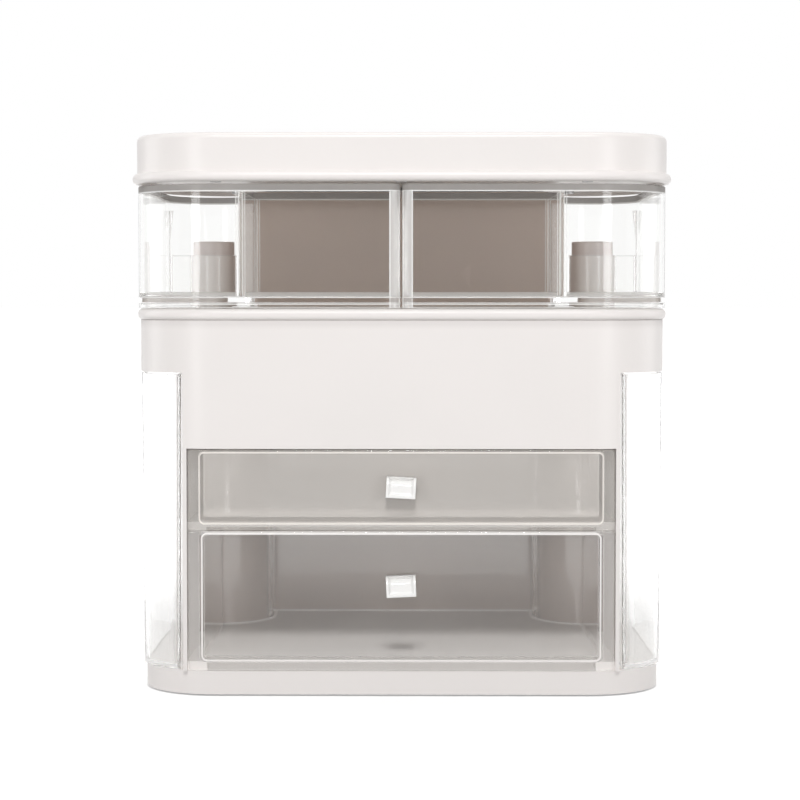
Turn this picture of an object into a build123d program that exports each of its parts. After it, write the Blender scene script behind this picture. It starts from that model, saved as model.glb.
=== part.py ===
from build123d import *
from math import sqrt
import os

# Cosmetic case with a hinged lid, two swing-out trays, two drawers and two swing-out side bins.
# Millimetres. X is the width with +X on the viewer's right, Y runs from the front to the back
# and Z is up. The origin is on the surface that the case stands on, below the middle of its plan.

os.makedirs("parts", exist_ok=True)

# Plan of the body
case_width = 285.4
case_depth = 188.0
corner_radius = 43.0
shell_wall = 2.4

# How far each band's outer face stands out from the body's plan
plinth_step = -2.7
bin_step = -0.4
deck_bead_step = 1.5
tray_step = 0.9
lid_step = 1.5
lid_bead_step = 4.0

# Heights of the bands, from the bottom up
foot_stand = 1.0
plinth_height = 12.6
bin_floor_gap = 0.3
bin_height = 158.1
bin_headroom = 0.9
shoulder_height = 27.8
deck_bead_height = 6.1
tray_floor_gap = 0.5
tray_height = 65.6
lid_gap = 1.1
lid_height = 26.0
lid_bead_height = 5.6

# Upright axes that each side's tray and bin swing on, in from the side and the back
pivot_side_inset = 29.7
pivot_back_inset = 32.0
running_gap = 0.08

# Side bins and the bay between them
bin_arm = 24.9
bin_wall = 2.3
bin_floor = 2.4
bin_swing_gap = 0.7
bin_side_gap = 1.0
bin_corner = 2.0
bin_draft = 1.0
bin_hub_radius = 6.0
bin_hub_drop = 12.0
bay_wall = 2.2
rod_radius = 3.0
rod_boss_radius = 6.0
rod_seat_depth = 7.6
rod_boss_height = 12.0
back_wall_setback = 7.0
pillar_width = 22.0
front_screw_inset = 15.0

# Drawers
front_gap = 0.6
lower_front_height = 74.4
upper_front_height = 42.8
drawer_side_gap = 0.7
front_plate = 2.6
front_corner = 1.5
front_overhang = 6.1
box_rise = 4.4
box_shy = 2.0
drawer_wall = 2.4
drawer_floor = 2.4
drawer_back_gap = 3.6
drawer_column_gap = 1.0
drawer_corner = 4.0
drawer_edge = 2.6
drawer_cavity_edge = 1.6
front_edge = 0.5
tab_end_inset = 3.8
runner_gap = 0.3
runner_height = 2.8
runner_width = 10.3
runner_front_gap = 1.0
shelf_thickness = 1.6
shelf_gap = 0.3
stop_clearance = 0.4
nub_height = 3.0
stop_thickness = 2.5

# Knobs
knob_width = 15.7
knob_height = 11.0
knob_depth = 9.5
knob_scoop = 3.0
knob_rim = 1.1
upper_knob_rise = 23.4
lower_knob_rise = 46.1
upper_knob_tilt = 3.0
lower_knob_tilt = -2.5
knob_screw_grip = 5.0

# Well behind the blank front, with its floor on a ledge round the walls
well_ledge_width = 4.0
well_ledge_height = 2.0
well_floor_thickness = 2.2
well_floor_gap = 0.3
mouth_side_rim = 42.7
mouth_front_rim = 12.0
mouth_back_rim = 4.0
mouth_radius = 9.0

# Deck under the trays
deck_plate = 2.6
deck_bead_round = 2.6
deck_boss_depth = 9.0
skirt_depth = 4.0
skirt_wall = 2.0
skirt_gap = 0.15
skirt_floor_gap = 0.4

# Rear column, which carries the lid's hinge and is a pocket
column_depth = 68.0
column_side_gap = 1.5
column_wall = 2.4
column_corner = 2.0
column_top_gap = 0.3
column_screw_inset = 9.5

# Trays
tray_centre_gap = 1.0
tray_lobe_radius = 27.0
tray_back_gap = 2.0
tray_wall = 2.4
tray_floor = 2.5
tray_foot = 3.0
tray_rim_height = 3.7
tray_rim_width = 4.0
tray_corner = 4.0
tray_blend = 12.0
tray_rim_edge = 0.6
tray_cavity_edge = 3.0
tray_hub_radius = 14.3
tray_hub_height = 30.2
half_wall = 2.0
rib_width = 4.2
rib_foot_width = 1.2
rib_top_drop = 8.9
divider_x = 85.0
divider_thickness = 2.0
divider_drop = 0.4
slot_gap = 0.15
slot_rib_width = 1.2
slot_rib_depth = 1.5

# Posts that the trays turn on
post_radius = 11.0
post_wall = 2.0
post_boss_radius = 5.0
post_locator_height = 1.5
cap_radius = 12.5
cap_height = 7.8
cap_gap = 0.3
cap_edge = 0.8

# Lid
lid_wall = 2.4
lid_top_round = 3.0
lid_bead_round = 2.6
liner_thickness = 2.2
liner_recess = 2.4
liner_gap = 0.3
lid_boss_radius = 4.0
lid_screw_length = 10.0
hinge_x = 52.0
hinge_back_gap = 4.6
hinge_drop = 4.0
knuckle_radius = 3.6
knuckle_width = 16.0
lid_knuckle_width = 8.0
knuckle_gap = 0.3
hinge_pin_radius = 1.6

# Feet
foot_radius = 8.0
foot_thickness = 2.2
foot_gap = 0.1
foot_land_radius = 10.5

# Screws: radius of shank, radius and height of head
small_shank, small_head, small_head_height = 1.5, 3.0, 1.8
post_shank, post_head, post_head_height = 2.0, 3.8, 2.4
screw_gap = 0.1
head_gap = 0.4
cross_width = 0.8
cross_reach = 0.65
cross_depth = 1.0
boss_wall = 2.5

# Levels
plinth_top = foot_stand + plinth_height
lower_front_bottom = plinth_top + front_gap
upper_front_bottom = lower_front_bottom + lower_front_height + front_gap
opening_top = upper_front_bottom + upper_front_height + front_gap
bin_bottom = plinth_top + bin_floor_gap
bin_top = bin_bottom + bin_height
shoulder_bottom = bin_top + bin_headroom
shoulder_top = shoulder_bottom + shoulder_height
core_top = shoulder_top - skirt_depth - skirt_floor_gap
deck_top = shoulder_top + deck_bead_height
deck_under = deck_top - deck_plate
well_floor_bottom = opening_top + well_ledge_height
tray_bottom = deck_top + tray_floor_gap
tray_top = tray_bottom + tray_height
tray_floor_top = tray_bottom + tray_foot + tray_floor
tray_rim_bottom = tray_top - tray_rim_height
hub_top = tray_bottom + tray_hub_height
lid_bottom = tray_top + lid_gap
lid_top = lid_bottom + lid_height
liner_bottom = lid_bottom + liner_recess
liner_top = liner_bottom + liner_thickness

# Places
case_front = -case_depth / 2
case_back = case_depth / 2
pivot_x = case_width / 2 - pivot_side_inset
pivot_y = case_back - pivot_back_inset
pivots = [(-pivot_x, pivot_y), (pivot_x, pivot_y)]
bin_lobe_radius = case_width / 2 + bin_step - pivot_x
bin_inner_x = case_width / 2 + bin_step - bin_arm
pocket_radius = bin_lobe_radius + bin_swing_gap
housing_radius = pocket_radius + bay_wall
bay_outer_x = bin_inner_x - bin_side_gap
bay_half = bay_outer_x - bay_wall
column_half = pivot_x - tray_lobe_radius - column_side_gap
column_front = case_back - column_depth
tray_back = column_front - tray_back_gap
tray_side = pivot_x - tray_lobe_radius
front_half = bay_half - drawer_side_gap
box_half = front_half - front_overhang
box_front = case_front + front_plate
box_back = case_back - shell_wall - drawer_back_gap
notch_radius = housing_radius + drawer_column_gap
waist_half = pivot_x - notch_radius
far = case_width


def outline(growth, mode=Mode.ADD):
    """Draw the body's plan, grown outwards, in the sketch being made."""
    RectangleRounded(
        case_width + 2 * growth, case_depth + 2 * growth, corner_radius + growth, mode=mode
    )


def front_at(growth, x):
    """Y of the front of the body's plan, grown outwards, at x from its middle."""
    past_flat = max(0, x - case_width / 2 + corner_radius)
    return case_front + corner_radius - sqrt((corner_radius + growth) ** 2 - past_flat**2)


def core_plan(half_width, growth, pocket, back_setback):
    """Plan of the body between its two bins, with round pockets at the pivots."""
    back_x = pivot_x - back_setback
    with BuildSketch() as plan:
        outline(growth)
        for side in (-1, 1):
            with Locations((side * (half_width + far / 2), 0)):
                Rectangle(far, 2 * far, mode=Mode.SUBTRACT)
            with Locations((side * (back_x + far / 2), pivot_y + far / 2)):
                Rectangle(far, far, mode=Mode.SUBTRACT)
        with Locations(*pivots):
            Circle(pocket, mode=Mode.SUBTRACT)
    return plan.sketch


def drawer_plan():
    """Plan of a drawer's box: full width in front, a waist between the pocket housings."""
    plan_front = box_front - drawer_wall / 2
    with BuildSketch() as plan:
        with Locations((0, (plan_front + box_back) / 2)):
            Rectangle(2 * box_half, box_back - plan_front)
        for side in (-1, 1):
            with Locations((side * (waist_half + far / 2), pivot_y + far / 2)):
                Rectangle(far, far, mode=Mode.SUBTRACT)
        with Locations(*pivots):
            Circle(notch_radius, mode=Mode.SUBTRACT)
        back_corners = plan.vertices().sort_by(Axis.Y)[-2:]
        notch_corners = plan.vertices().filter_by(
            lambda corner: abs(corner.X) > waist_half + drawer_corner and corner.Y > box_front
        )
        fillet(back_corners + notch_corners, drawer_corner)
    return plan.sketch


def drawer_cavity_plan(outside):
    """Plan of the space in a drawer's box, reaching forward to the front plate."""
    with BuildSketch() as plan:
        add(offset(outside, amount=-drawer_wall))
        with Locations((0, box_front)):
            Rectangle(2 * (box_half - drawer_wall), 2 * drawer_wall, align=(Align.CENTER, Align.MIN))
    return plan.sketch


def front_plan():
    """Plan of a drawer's front plate, which follows the body's rounded corners."""
    with BuildSketch() as plan:
        outline(0)
        outline(-front_plate, mode=Mode.SUBTRACT)
        with Locations((0, case_front)):
            Rectangle(2 * front_half, corner_radius, mode=Mode.INTERSECT)
    return plan.sketch


def bin_plan(inset):
    """Plan of the right side bin, drawn in by inset: a straight arm and a lobe on the pivot."""
    with BuildSketch() as plan:
        with Locations((bin_inner_x + inset + far / 2, pivot_y - far / 2)):
            Rectangle(far, far)
        with Locations((pivot_x, pivot_y)):
            Circle(bin_lobe_radius - inset)
        outline(bin_step - inset, mode=Mode.INTERSECT)
        front_corner_point = plan.vertices().sort_by(Axis.Y)[:2].sort_by(Axis.X)[0]
        fillet(front_corner_point, bin_corner)
    return plan.sketch


def tray_plan():
    """Plan of the right tray: front bay, end bay and a round lobe behind the pivot."""
    corner_x = case_width / 2 - corner_radius
    corner_y = case_back - corner_radius
    radius = corner_radius + tray_step
    away = sqrt((pivot_x - corner_x) ** 2 + (pivot_y - corner_y) ** 2)
    along = (radius**2 - tray_lobe_radius**2 + away**2) / (2 * away)
    across = sqrt(radius**2 - along**2)
    meet_x = corner_x + (along * (pivot_x - corner_x) + across * (corner_y - pivot_y)) / away
    with BuildSketch() as plan:
        with Locations((tray_centre_gap / 2 + far / 2, tray_back - far / 2)):
            Rectangle(far, far)
        with Locations((tray_side + far / 2, pivot_y - far / 2)):
            Rectangle(far, far)
        with Locations((meet_x + far / 2, 0)):
            Rectangle(far, 2 * far)
        with Locations((pivot_x, pivot_y)):
            Circle(tray_lobe_radius)
        outline(tray_step, mode=Mode.INTERSECT)
        centre_corners = plan.vertices().sort_by(Axis.X)[:2]
        fillet(centre_corners, tray_corner)
        fillet(plan.vertices().sort_by(Axis.Y)[-1], tray_blend)
    return plan.sketch


def draw_screws(plane, points, up, shank, length, head, head_height):
    """Add cross-head screws seated on a plane; up is 1 where the tips point along its normal."""
    with BuildSketch(plane) as shanks:
        with Locations(*points):
            Circle(shank)
    extrude(shanks.sketch, amount=up * length)
    with BuildSketch(plane) as heads:
        with Locations(*points):
            Circle(head)
    extrude(heads.sketch, amount=-up * head_height)
    with BuildSketch(plane.offset(-up * head_height)) as crosses:
        with Locations(*points):
            Rectangle(2 * cross_reach * head, cross_width)
            Rectangle(cross_width, 2 * cross_reach * head)
    extrude(crosses.sketch, amount=up * cross_depth, mode=Mode.SUBTRACT)


def rounded_cavity(plan, bottom, height, edge):
    """Solid of the space above a floor, with the edges round its floor rounded."""
    cavity = extrude(plan.moved(Location((0, 0, bottom))), amount=height, mode=Mode.PRIVATE)
    return cavity.fillet(edge, cavity.faces().sort_by(Axis.Z)[0].edges())


def save(part, name):
    """Label a finished piece and write it under its own name."""
    part.label = name
    export_step(part, f"parts/{name}.step")


# Plans that several pieces share
core_outside = core_plan(bay_outer_x, 0, pocket_radius, back_wall_setback)
core_inside = core_plan(bay_half, -shell_wall, housing_radius, back_wall_setback + pillar_width)
ledge_inside = core_plan(
    bay_half - well_ledge_width,
    -shell_wall - well_ledge_width,
    housing_radius + well_ledge_width,
    back_wall_setback + pillar_width + well_ledge_width,
)
drawer_outside = drawer_plan()
drawer_inside = drawer_cavity_plan(drawer_outside)
drawer_front = front_plan()
tray_outside = tray_plan()
tray_inside = offset(tray_outside, amount=-tray_wall)
tray_mouth = offset(tray_outside, amount=-tray_rim_width)

# Screw places
small_hole = small_shank + screw_gap
boss_radius = small_hole + boss_wall
pillar_x = pivot_x - back_wall_setback - pillar_width + small_hole + boss_wall
pillar_y = case_back + plinth_step - shell_wall - small_head - head_gap
runner_mid_x = bay_half - runner_width / 2
base_screw_points = [
    (side * x, y)
    for side in (-1, 1)
    for x, y in ((pillar_x, pillar_y), (runner_mid_x, case_front + front_screw_inset))
]
column_screw_x = column_half - column_screw_inset
column_back_y = case_back - column_screw_inset
column_front_y = column_front + column_screw_inset
back_column_points = [(-column_screw_x, column_back_y), (column_screw_x, column_back_y)]
front_column_points = [(-column_screw_x, column_front_y), (column_screw_x, column_front_y)]
foot_points = [(x, y) for x in (-pivot_x, pivot_x) for y in (-pivot_y, pivot_y)]
lid_screw_x = case_width / 2 - corner_radius
lid_screw_y = case_back - corner_radius / 2
lid_screw_points = [(x, y) for x in (-lid_screw_x, 0, lid_screw_x) for y in (-lid_screw_y, lid_screw_y)]

# Base plinth: an upturned tray with lands for the feet and bosses for the screws and rods
with BuildPart() as base_plinth:
    with BuildSketch(Plane.XY.offset(foot_stand)):
        outline(plinth_step)
    extrude(amount=plinth_height)
    with BuildSketch(Plane.XY.offset(foot_stand)):
        outline(plinth_step - shell_wall)
        with Locations(*foot_points):
            Circle(foot_land_radius, mode=Mode.SUBTRACT)
        with Locations(*base_screw_points):
            Circle(small_head + head_gap + boss_wall, mode=Mode.SUBTRACT)
    extrude(amount=plinth_height - shell_wall, mode=Mode.SUBTRACT)
    with BuildSketch(Plane.XY.offset(foot_stand)):
        with Locations(*foot_points):
            Circle(foot_radius + foot_gap)
    extrude(amount=foot_thickness - foot_stand, mode=Mode.SUBTRACT)
    with BuildSketch(Plane.XY.offset(foot_stand)):
        with Locations(*base_screw_points):
            Circle(small_head + head_gap)
    extrude(amount=plinth_height / 2, mode=Mode.SUBTRACT)
    with BuildSketch(Plane.XY.offset(foot_stand)):
        with Locations(*base_screw_points):
            Circle(small_hole)
    extrude(amount=plinth_height, mode=Mode.SUBTRACT)
    with BuildSketch(Plane.XY.offset(plinth_top)):
        with Locations(*pivots):
            Circle(rod_radius)
    extrude(amount=-rod_seat_depth, mode=Mode.SUBTRACT)
save(base_plinth.part, "base_plinth")

# Rubber feet, stuck into the recesses of the plinth's lands
with BuildPart() as rubber_feet:
    with BuildSketch():
        with Locations(*foot_points):
            Circle(foot_radius)
    extrude(amount=foot_thickness)
save(rubber_feet.part, "rubber_feet")

base_screw_seat = foot_stand + plinth_height / 2
base_screw_length = plinth_height / 2 + box_rise + front_gap - 2 * runner_gap
with BuildPart() as base_screws:
    draw_screws(
        Plane.XY.offset(base_screw_seat), base_screw_points, 1,
        small_shank, base_screw_length, small_head, small_head_height,
    )
save(base_screws.part, "base_screws")

# Body: front panel, back wall, bay walls with a round housing at each pivot, and the shoulder
lower_box_bottom = lower_front_bottom + box_rise
upper_box_bottom = upper_front_bottom + box_rise
upper_runner_bottom = upper_box_bottom - runner_gap - runner_height
runner_front = front_at(-front_plate, front_half) + runner_front_gap
runner_back = pivot_y - sqrt(housing_radius**2 - (pivot_x - bay_half + runner_width / 2) ** 2)
nub_back = runner_front + stop_thickness
side_wall_end = pivot_y - sqrt(notch_radius**2 - (pivot_x - box_half) ** 2)
lower_tab_front = side_wall_end - tab_end_inset - stop_thickness
drawer_travel = lower_tab_front - nub_back - stop_clearance
with BuildPart() as body_shell:
    with BuildSketch(Plane.XY.offset(plinth_top)):
        add(core_outside)
        add(core_inside, mode=Mode.SUBTRACT)
    extrude(amount=core_top - plinth_top)
    with BuildSketch(Plane.XY.offset(shoulder_bottom)):
        outline(0)
        outline(-shell_wall, mode=Mode.SUBTRACT)
    extrude(amount=shoulder_height)
    with BuildSketch(Plane.XY.offset(shoulder_bottom)):
        outline(0)
        add(core_inside, mode=Mode.SUBTRACT)
    extrude(amount=shell_wall)
    with BuildSketch(Plane.XY.offset(plinth_top)):
        with Locations((0, case_front)):
            Rectangle(2 * bay_half, corner_radius)
    extrude(amount=opening_top - plinth_top, mode=Mode.SUBTRACT)
    with BuildSketch(Plane.XY.offset(opening_top)):
        add(core_inside)
        add(ledge_inside, mode=Mode.SUBTRACT)
    extrude(amount=well_ledge_height)
    for side in (-1, 1):
        with BuildSketch(Plane.XY.offset(plinth_top)):
            with Locations((side * runner_mid_x, (runner_front + runner_back) / 2)):
                Rectangle(runner_width, runner_back - runner_front)
        extrude(amount=lower_box_bottom - runner_gap - plinth_top)
        with BuildSketch(Plane.XY.offset(upper_runner_bottom)):
            with Locations((side * runner_mid_x, (runner_front + runner_back) / 2)):
                Rectangle(runner_width, runner_back - runner_front)
        extrude(amount=runner_height)
        with BuildSketch(Plane.XY.offset(upper_runner_bottom)):
            with Locations((side * runner_mid_x, runner_front + stop_thickness / 2)):
                Rectangle(runner_width, stop_thickness)
        extrude(amount=-nub_height)
    with BuildSketch(Plane.XY.offset(shoulder_bottom)):
        with Locations(*pivots):
            Circle(rod_boss_radius)
    extrude(amount=rod_boss_height + shell_wall)
    with BuildSketch(Plane.XY.offset(shoulder_bottom)):
        with Locations(*pivots):
            Circle(rod_radius)
    extrude(amount=rod_boss_height, mode=Mode.SUBTRACT)
    with BuildSketch(Plane.XY.offset(shoulder_bottom)):
        with Locations(*back_column_points):
            Circle(boss_radius)
        for x, y in back_column_points:
            with Locations((x, (y + case_back) / 2)):
                Rectangle(bay_wall, case_back - y)
    extrude(amount=core_top - shoulder_bottom)
    with BuildSketch(Plane.XY.offset(core_top)):
        with Locations(*back_column_points):
            Circle(boss_radius)
    extrude(amount=deck_under - core_top)
    with BuildSketch(Plane.XY.offset(deck_under)):
        with Locations(*back_column_points):
            Circle(small_hole)
    extrude(amount=shoulder_bottom + shell_wall - deck_under, mode=Mode.SUBTRACT)
    with BuildSketch(Plane.XY.offset(plinth_top)):
        with Locations(*base_screw_points):
            Circle(small_hole)
    extrude(amount=base_screw_length - plinth_height / 2 + screw_gap, mode=Mode.SUBTRACT)
save(body_shell.part, "body_shell")

# Shelf between the drawers, glued in between the upper runners
shelf_width = 2 * runner_mid_x - runner_width
with BuildPart() as drawer_shelf:
    with BuildSketch(Plane.XY.offset(upper_runner_bottom)):
        add(offset(core_inside, amount=-shelf_gap))
        with Locations((0, runner_front)):
            Rectangle(shelf_width, case_depth, align=(Align.CENTER, Align.MIN), mode=Mode.INTERSECT)
    extrude(amount=shelf_thickness)
save(drawer_shelf.part, "drawer_shelf")

# Floor of the well, which is also the ceiling over the drawers
with BuildPart() as well_floor:
    with BuildSketch(Plane.XY.offset(well_floor_bottom)):
        add(offset(core_inside, amount=-well_floor_gap))
    extrude(amount=well_floor_thickness)
save(well_floor.part, "well_floor")

# Deck under the trays: a beaded rim, a skirt that plugs into the shoulder and the well's mouth
mouth_half = case_width / 2 - mouth_side_rim
mouth_front = case_front + mouth_front_rim
mouth_back = column_front - mouth_back_rim
with BuildPart() as top_deck:
    with BuildSketch(Plane.XY.offset(shoulder_top)):
        outline(deck_bead_step)
    extrude(amount=deck_bead_height)
    fillet(top_deck.faces().filter_by(Axis.Z).edges(), deck_bead_round)
    with BuildSketch(Plane.XY.offset(shoulder_top)):
        outline(-shell_wall - skirt_gap - skirt_wall)
    extrude(amount=deck_bead_height - deck_plate, mode=Mode.SUBTRACT)
    with BuildSketch(Plane.XY.offset(shoulder_top)):
        outline(-shell_wall - skirt_gap)
        outline(-shell_wall - skirt_gap - skirt_wall, mode=Mode.SUBTRACT)
    extrude(amount=-skirt_depth)
    with BuildSketch(Plane.XY.offset(deck_under)):
        with Locations(*front_column_points):
            Circle(boss_radius)
        with Locations(*pivots):
            Circle(post_shank + screw_gap + boss_wall)
    extrude(amount=-deck_boss_depth)
    with BuildSketch(Plane.XY.offset(deck_under)):
        with Locations((0, (mouth_front + mouth_back) / 2)):
            RectangleRounded(2 * mouth_half, mouth_back - mouth_front, mouth_radius)
        with Locations(*back_column_points):
            Circle(small_hole)
    extrude(amount=deck_plate, mode=Mode.SUBTRACT)
    with BuildSketch(Plane.XY.offset(deck_top)):
        with Locations(*front_column_points):
            Circle(small_hole)
        with Locations(*pivots):
            Circle(post_shank + screw_gap)
    extrude(amount=-deck_plate - deck_boss_depth, mode=Mode.SUBTRACT)
    with BuildSketch(Plane.XY.offset(deck_top)):
        with Locations(*pivots):
            Circle(post_radius - post_wall - screw_gap)
            Circle(post_boss_radius + screw_gap, mode=Mode.SUBTRACT)
    extrude(amount=post_locator_height)
save(top_deck.part, "top_deck")

# Rear column: an open-topped box with the middle knuckles of the lid's two hinges
hinge_y = case_back + hinge_back_gap
hinge_z = lid_bottom - hinge_drop
column_top = lid_bottom - column_top_gap
column_floor_top = deck_top + column_wall
with BuildPart() as rear_column:
    with BuildSketch(Plane.XY.offset(deck_top)):
        with Locations((0, column_front + column_depth / 2)):
            Rectangle(2 * column_half, column_depth)
    extrude(amount=column_top - deck_top)
    fillet(rear_column.edges().filter_by(Axis.Z), column_corner)
    with BuildSketch(Plane.XY.offset(column_floor_top)):
        with Locations((0, column_front + column_depth / 2)):
            RectangleRounded(
                2 * (column_half - column_wall), column_depth - 2 * column_wall, column_corner
            )
    extrude(amount=column_top - column_floor_top, mode=Mode.SUBTRACT)
    for x in (-hinge_x, hinge_x):
        with BuildSketch(Plane.YZ.offset(x - knuckle_width / 2)):
            with Locations((hinge_y, hinge_z)):
                Circle(knuckle_radius)
            with Locations(((case_back + hinge_y) / 2, hinge_z)):
                Rectangle(hinge_y - case_back, 2 * knuckle_radius)
        extrude(amount=knuckle_width)
        with BuildSketch(Plane.YZ.offset(x - knuckle_width / 2)):
            with Locations((hinge_y, hinge_z)):
                Circle(hinge_pin_radius + running_gap)
        extrude(amount=knuckle_width, mode=Mode.SUBTRACT)
    with BuildSketch(Plane.XY.offset(deck_top)):
        with Locations(*back_column_points, *front_column_points):
            Circle(small_hole)
    extrude(amount=column_wall, mode=Mode.SUBTRACT)
save(rear_column.part, "rear_column")

with BuildPart() as column_screws:
    draw_screws(
        Plane.XY.offset(column_floor_top), back_column_points + front_column_points, -1,
        small_shank, column_wall + deck_plate + deck_boss_depth - screw_gap,
        small_head, small_head_height,
    )
save(column_screws.part, "column_screws")

# Lid: a shallow cap with a beaded rim, closed below by a flat liner
with BuildPart() as lid_cover:
    with BuildSketch(Plane.XY.offset(lid_bottom)):
        outline(lid_bead_step)
    extrude(amount=lid_bead_height)
    fillet(lid_cover.faces().filter_by(Axis.Z).edges(), lid_bead_round)
    with BuildSketch(Plane.XY.offset(lid_bottom)):
        outline(lid_step)
    extrude(amount=lid_height)
    fillet(lid_cover.faces().sort_by(Axis.Z)[-1].edges(), lid_top_round)
    with BuildSketch(Plane.XY.offset(lid_bottom)):
        outline(lid_step - lid_wall)
    extrude(amount=lid_height - lid_wall, mode=Mode.SUBTRACT)
    with BuildSketch(Plane.XY.offset(liner_top)):
        with Locations(*lid_screw_points):
            Circle(lid_boss_radius)
    extrude(amount=lid_top - lid_wall - liner_top)
    with BuildSketch(Plane.XY.offset(liner_top)):
        with Locations(*lid_screw_points):
            Circle(small_hole)
    extrude(amount=lid_top - lid_wall - liner_top - lid_wall, mode=Mode.SUBTRACT)
    lug_shift = (knuckle_width + lid_knuckle_width) / 2 + knuckle_gap
    for x in (-hinge_x, hinge_x):
        for lug_x in (x - lug_shift, x + lug_shift):
            lug_plane = Plane.YZ.offset(lug_x - lid_knuckle_width / 2)
            with BuildSketch(lug_plane):
                with Locations((hinge_y, hinge_z)):
                    Circle(knuckle_radius)
                with Locations((hinge_y + knuckle_radius, hinge_z)):
                    Rectangle(
                        2 * knuckle_radius, hinge_drop + lid_bead_height,
                        align=(Align.MAX, Align.MIN),
                    )
            extrude(amount=lid_knuckle_width)
            with BuildSketch(lug_plane):
                with Locations((hinge_y, hinge_z)):
                    Circle(hinge_pin_radius + running_gap)
            extrude(amount=lid_knuckle_width, mode=Mode.SUBTRACT)
save(lid_cover.part, "lid_cover")

with BuildPart() as lid_liner:
    with BuildSketch(Plane.XY.offset(liner_bottom)):
        outline(lid_step - lid_wall - liner_gap)
        with Locations(*lid_screw_points):
            Circle(small_hole, mode=Mode.SUBTRACT)
    extrude(amount=liner_thickness)
save(lid_liner.part, "lid_liner")

with BuildPart() as lid_screws:
    draw_screws(
        Plane.XY.offset(liner_bottom), lid_screw_points, 1,
        small_shank, lid_screw_length, small_head, small_head_height,
    )
save(lid_screws.part, "lid_screws")

with BuildPart() as lid_hinge_pins:
    for x in (-hinge_x, hinge_x):
        with BuildSketch(Plane.YZ.offset(x)):
            with Locations((hinge_y, hinge_z)):
                Circle(hinge_pin_radius)
        extrude(amount=lug_shift + lid_knuckle_width / 2, both=True)
save(lid_hinge_pins.part, "lid_hinge_pins")

# Drawers, each with a front plate, a box notched round the housings and two stop tabs
ledge_back = front_at(-shell_wall - well_ledge_width, box_half)


def draw_drawer(front_bottom, front_height, knob_rise, stop_top, stop_face):
    """Build one closed drawer, whose tabs meet stop_face when it is pulled out."""
    box_bottom = front_bottom + box_rise
    box_top = front_bottom + front_height - box_shy
    tab_front = stop_face + drawer_travel + stop_clearance
    with BuildSketch(Plane.XY.offset(box_bottom)) as floor:
        add(drawer_outside)
    box = extrude(floor.sketch, amount=box_top - box_bottom)
    floor_edges = box.faces().sort_by(Axis.Z)[0].edges().sort_by(Axis.Y)[1:]
    fillet(floor_edges, drawer_edge)
    plate_foot = drawer_front.moved(Location((0, 0, front_bottom)))
    plate = extrude(plate_foot, amount=front_height, mode=Mode.PRIVATE)
    plate = plate.fillet(front_corner, plate.edges().filter_by(Axis.Y))
    plate = plate.fillet(front_edge, plate.faces().sort_by(Axis.Y)[0].edges().filter_by(Axis.X))
    add(plate)
    cavity_bottom = box_bottom + drawer_floor
    cavity = rounded_cavity(
        drawer_inside, cavity_bottom, box_top - cavity_bottom, drawer_cavity_edge
    )
    add(cavity, mode=Mode.SUBTRACT)
    with BuildSketch(Plane.XZ.offset(-case_front)) as screw_hole:
        with Locations((0, front_bottom + knob_rise)):
            Circle(small_hole)
    extrude(screw_hole.sketch, amount=-front_plate, mode=Mode.SUBTRACT)
    with BuildSketch(Plane.XY.offset(box_top)) as tabs:
        for side in (-1, 1):
            with Locations((side * (box_half - drawer_wall / 2), tab_front + stop_thickness / 2)):
                Rectangle(drawer_wall, stop_thickness)
    extrude(tabs.sketch, amount=stop_top - box_top)


with BuildPart() as lower_drawer:
    draw_drawer(
        lower_front_bottom, lower_front_height, lower_knob_rise,
        upper_runner_bottom - stop_clearance, nub_back,
    )
save(lower_drawer.part, "lower_drawer")

with BuildPart() as upper_drawer:
    draw_drawer(
        upper_front_bottom, upper_front_height, upper_knob_rise,
        well_floor_bottom - stop_clearance, ledge_back,
    )
save(upper_drawer.part, "upper_drawer")


def draw_knob(height, tilt):
    """Build a pull tab on the drawer's face: a rounded top, side rims, a scoop and a lip."""
    across = Vector(-1, 0, 0).rotate(Axis.Y, tilt)
    profile_plane = Plane(origin=(0, case_front, height), x_dir=(0, -1, 0), z_dir=across)
    half = knob_height / 2
    with BuildSketch(profile_plane) as profile:
        with BuildLine():
            Line((0, -half), (knob_depth, -half))
            Line((knob_depth, -half), (knob_depth, 0))
            RadiusArc((knob_depth, 0), (knob_depth - half, half), -half)
            Line((knob_depth - half, half), (0, half))
            Line((0, half), (0, -half))
        make_face()
    extrude(profile.sketch, amount=knob_width / 2, both=True)
    with BuildSketch(profile_plane) as scoop:
        with BuildLine():
            Line((knob_depth, knob_rim - half), (knob_depth, half))
            Line((knob_depth, half), (knob_depth - half, half))
            ThreePointArc(
                (knob_depth - half, half),
                (knob_depth - knob_scoop, 0),
                (knob_depth, knob_rim - half),
            )
        make_face()
    extrude(scoop.sketch, amount=knob_width / 2 - knob_rim, both=True, mode=Mode.SUBTRACT)
    with BuildSketch(Plane.XZ.offset(-case_front)) as screw_hole:
        with Locations((0, height)):
            Circle(small_hole)
    extrude(screw_hole.sketch, amount=knob_screw_grip + screw_gap, mode=Mode.SUBTRACT)


knob_heights = {
    "lower": (lower_front_bottom + lower_knob_rise, lower_knob_tilt),
    "upper": (upper_front_bottom + upper_knob_rise, upper_knob_tilt),
}
for place, (height, tilt) in knob_heights.items():
    with BuildPart() as knob:
        draw_knob(height, tilt)
    save(knob.part, f"{place}_knob")
    with BuildPart() as knob_screw:
        draw_screws(
            Plane.XZ.offset(-box_front), [(0, height)], 1,
            small_shank, front_plate + knob_screw_grip, small_head, small_head_height,
        )
    save(knob_screw.part, f"{place}_knob_screw")

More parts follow.
